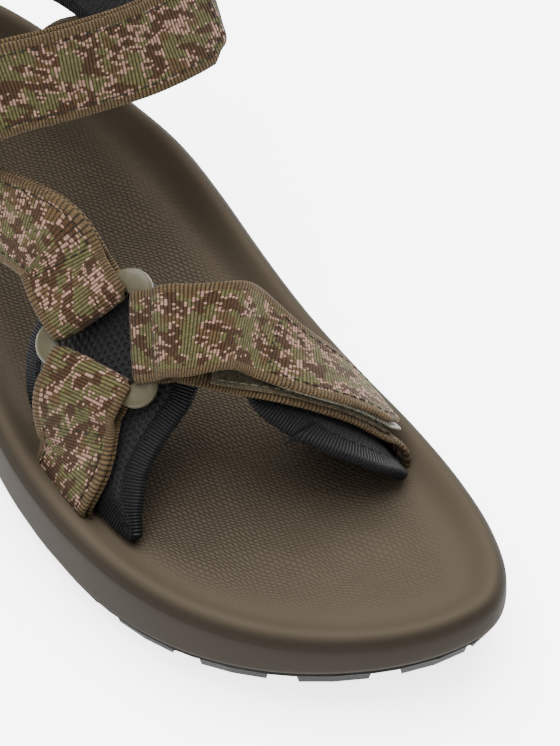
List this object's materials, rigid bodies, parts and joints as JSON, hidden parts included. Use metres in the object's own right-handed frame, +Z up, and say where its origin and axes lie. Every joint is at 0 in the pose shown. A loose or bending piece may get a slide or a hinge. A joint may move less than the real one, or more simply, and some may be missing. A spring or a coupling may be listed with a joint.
{
  "type": "strappy sport sandal",
  "caption": "Right-foot sport sandal: cupped moulded footbed, lugged rubber outsole, webbing straps through triangular rings, padded liners and peel-open strap flaps.",
  "frame": {"origin": "middle of the bounding box, on the ground under the lugs", "axes": "+Y towards the heel, -Y towards the toe, +X towards the inner side of the foot, +Z up"},
  "size_m": [0.1094, 0.284, 0.1169],
  "materials": {
    "eva_taupe": "moulded foam, smooth and matte",
    "rubber_black": "matte rubber",
    "ring_olive": "smooth moulded, slightly translucent",
    "webbing_camo": "ribbed jacquard webbing with a blotched camouflage weave",
    "pile_grey_green": "brushed loop pile",
    "hook_grey_green": "moulded hook tape",
    "mesh_black": "knitted spacer mesh over thin foam",
    "grosgrain_black": "ribbed tape",
    "nylon_black": "moulded",
    "foam_grey": "open-cell foam"
  },
  "bodies": {
    "base": {"outsole": "rubber_black", "midsole": "eva_taupe", "shank": "nylon_black", "heel_cushion": "foam_grey", "forefoot_ring": "ring_olive", "lateral_ankle_ring": "ring_olive", "medial_ankle_ring": "ring_olive", "anchor_strap": "webbing_camo", "quarter_strap": "webbing_camo", "toe_strap": "webbing_camo", "arch_strap": "webbing_camo", "ankle_strap": "webbing_camo", "heel_strap": "webbing_camo", "lateral_riser": "webbing_camo", "toe_pile": "pile_grey_green", "ankle_pile": "pile_grey_green", "heel_pile": "pile_grey_green", "lateral_pad": "mesh_black", "medial_pad": "mesh_black", "collar_pad": "mesh_black", "lateral_binding": "grosgrain_black", "medial_binding": "grosgrain_black", "collar_binding": "grosgrain_black"},
    "toe_flap": {"toe_flap": "webbing_camo", "toe_hook": "hook_grey_green"},
    "ankle_flap": {"ankle_flap": "webbing_camo", "ankle_hook": "hook_grey_green"},
    "heel_flap": {"heel_flap": "webbing_camo", "heel_hook": "hook_grey_green"}
  },
  "joints": [
    {"name": "toe_flap_peel", "type": "hinge", "parent": "base", "child": "toe_flap", "pos_m": [-0.01481, -0.03482, 0.06336], "axis": [-0.4133, -0.704, -0.5775], "range_deg": [0, 110]},
    {"name": "ankle_flap_peel", "type": "hinge", "parent": "base", "child": "ankle_flap", "pos_m": [-0.03933, 0.04649, 0.08988], "axis": [0.1978, -0.8548, -0.4797], "range_deg": [0, 110]},
    {"name": "heel_flap_peel", "type": "hinge", "parent": "base", "child": "heel_flap", "pos_m": [0.04662, 0.07111, 0.08722], "axis": [-0.0236, 0.3741, -0.9271], "range_deg": [0, 110]}
  ]
}
